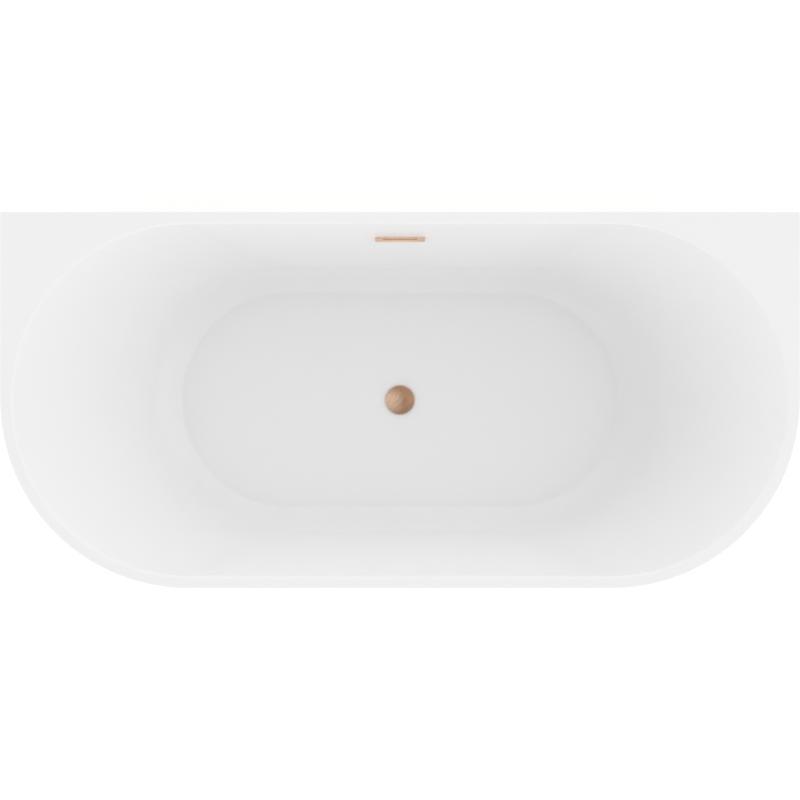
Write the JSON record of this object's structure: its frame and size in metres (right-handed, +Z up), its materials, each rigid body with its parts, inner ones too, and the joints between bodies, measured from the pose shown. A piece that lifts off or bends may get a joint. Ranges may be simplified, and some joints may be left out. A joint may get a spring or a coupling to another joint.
{
  "type": "freestanding bathtub",
  "caption": "Back-to-wall freestanding bath: flat back edge, rounded front corners, stadium-shaped well, central drain with lift-up cap, slotted overflow, steel frame on levelling feet.",
  "frame": {"origin": "on the floor under the middle of the bath, at the foot pads' undersides", "axes": "+X along the bath, +Y towards the wall behind it, +Z up"},
  "size_m": [1.7, 0.8, 0.6],
  "materials": {
    "acrylic": "smooth gloss white sanitary acrylic",
    "laminate": "sprayed glass-fibre laminate, rough",
    "board": "bare plywood",
    "frame_steel": "grey powder coat",
    "zinc_steel": "zinc-plated steel",
    "black_plastic": "moulded black plastic",
    "waste_metal": "plated brass, copper tone",
    "waste_plastic": "white polypropylene",
    "hose_plastic": "ribbed flexible hose, grey",
    "rubber": "black sealing rubber",
    "copper": "brushed copper finish"
  },
  "bodies": {
    "tub": {"base_board": "board", "basin": "acrylic", "basin_laminate": "laminate", "board_screws": "zinc_steel", "body_gasket": "rubber", "flange_gasket": "rubber", "frame_cross_1": "frame_steel", "frame_cross_2": "frame_steel", "frame_cross_3": "frame_steel", "frame_cross_4": "frame_steel", "frame_rail_back": "frame_steel", "frame_rail_front": "frame_steel", "hose_nut_lower": "waste_plastic", "hose_nut_upper": "waste_plastic", "lock_nuts": "zinc_steel", "overflow_body": "waste_plastic", "overflow_cover": "copper", "overflow_gasket": "rubber", "overflow_hose": "hose_plastic", "overflow_screws": "zinc_steel", "plug_cartridge": "waste_metal", "rail_end_plugs": "black_plastic", "rim_joint_strip": "laminate", "skirt": "acrylic", "skirt_brackets": "zinc_steel", "skirt_laminate": "laminate", "skirt_screws": "zinc_steel", "trap_nut": "waste_plastic", "waste_body": "waste_plastic", "waste_flange": "waste_metal", "weld_nuts": "frame_steel"},
    "plug": {"drain_cap": "copper", "plug_stem": "waste_metal", "plug_seal": "rubber", "plug_spring": "zinc_steel"},
    "trap": {"trap_lid": "waste_plastic", "trap_bowl": "waste_plastic", "trap_washer": "rubber"},
    "pad_left_back": {"foot_pad_left_back": "black_plastic"},
    "rod_left_back": {"foot_rod_left_back": "zinc_steel"},
    "pad_left_front": {"foot_pad_left_front": "black_plastic"},
    "rod_left_front": {"foot_rod_left_front": "zinc_steel"},
    "pad_middle_left": {"foot_pad_middle_left": "black_plastic"},
    "rod_middle_left": {"foot_rod_middle_left": "zinc_steel"},
    "pad_middle_right": {"foot_pad_middle_right": "black_plastic"},
    "rod_middle_right": {"foot_rod_middle_right": "zinc_steel"},
    "pad_right_back": {"foot_pad_right_back": "black_plastic"},
    "rod_right_back": {"foot_rod_right_back": "zinc_steel"},
    "pad_right_front": {"foot_pad_right_front": "black_plastic"},
    "rod_right_front": {"foot_rod_right_front": "zinc_steel"}
  },
  "joints": [
    {"name": "plug_lift", "type": "slide", "parent": "tub", "child": "plug", "axis": [0, 0, 1], "range_m": [0, 0.009], "deforming": ["plug_spring"]},
    {"name": "trap_swivel", "type": "hinge", "parent": "tub", "child": "trap", "pos_m": [0, 0, 0.065], "axis": [0, 0, 1], "continuous": true},
    {"name": "left_back_lift", "type": "slide", "parent": "tub", "child": "pad_left_back", "axis": [0, 0, -1], "range_m": [0, 0.0245]},
    {"name": "left_back_turn", "type": "hinge", "parent": "pad_left_back", "child": "rod_left_back", "pos_m": [-0.62, 0.17, 0.03], "axis": [0, 0, -1], "range_deg": [0, 5040]},
    {"name": "left_front_lift", "type": "slide", "parent": "tub", "child": "pad_left_front", "axis": [0, 0, -1], "range_m": [0, 0.0245]},
    {"name": "left_front_turn", "type": "hinge", "parent": "pad_left_front", "child": "rod_left_front", "pos_m": [-0.62, -0.17, 0.03], "axis": [0, 0, -1], "range_deg": [0, 5040]},
    {"name": "middle_left_lift", "type": "slide", "parent": "tub", "child": "pad_middle_left", "axis": [0, 0, -1], "range_m": [0, 0.0245]},
    {"name": "middle_left_turn", "type": "hinge", "parent": "pad_middle_left", "child": "rod_middle_left", "pos_m": [-0.23, 0, 0.03], "axis": [0, 0, -1], "range_deg": [0, 5040]},
    {"name": "middle_right_lift", "type": "slide", "parent": "tub", "child": "pad_middle_right", "axis": [0, 0, -1], "range_m": [0, 0.0245]},
    {"name": "middle_right_turn", "type": "hinge", "parent": "pad_middle_right", "child": "rod_middle_right", "pos_m": [0.23, 0, 0.03], "axis": [0, 0, -1], "range_deg": [0, 5040]},
    {"name": "right_back_lift", "type": "slide", "parent": "tub", "child": "pad_right_back", "axis": [0, 0, -1], "range_m": [0, 0.0245]},
    {"name": "right_back_turn", "type": "hinge", "parent": "pad_right_back", "child": "rod_right_back", "pos_m": [0.62, 0.17, 0.03], "axis": [0, 0, -1], "range_deg": [0, 5040]},
    {"name": "right_front_lift", "type": "slide", "parent": "tub", "child": "pad_right_front", "axis": [0, 0, -1], "range_m": [0, 0.0245]},
    {"name": "right_front_turn", "type": "hinge", "parent": "pad_right_front", "child": "rod_right_front", "pos_m": [0.62, -0.17, 0.03], "axis": [0, 0, -1], "range_deg": [0, 5040]}
  ],
  "couplings": [
    {"joint": "left_back_turn", "follows": "left_back_lift", "rad_per_m": 3590.4},
    {"joint": "left_front_turn", "follows": "left_front_lift", "rad_per_m": 3590.4},
    {"joint": "middle_left_turn", "follows": "middle_left_lift", "rad_per_m": 3590.4},
    {"joint": "middle_right_turn", "follows": "middle_right_lift", "rad_per_m": 3590.4},
    {"joint": "right_back_turn", "follows": "right_back_lift", "rad_per_m": 3590.4},
    {"joint": "right_front_turn", "follows": "right_front_lift", "rad_per_m": 3590.4}
  ]
}
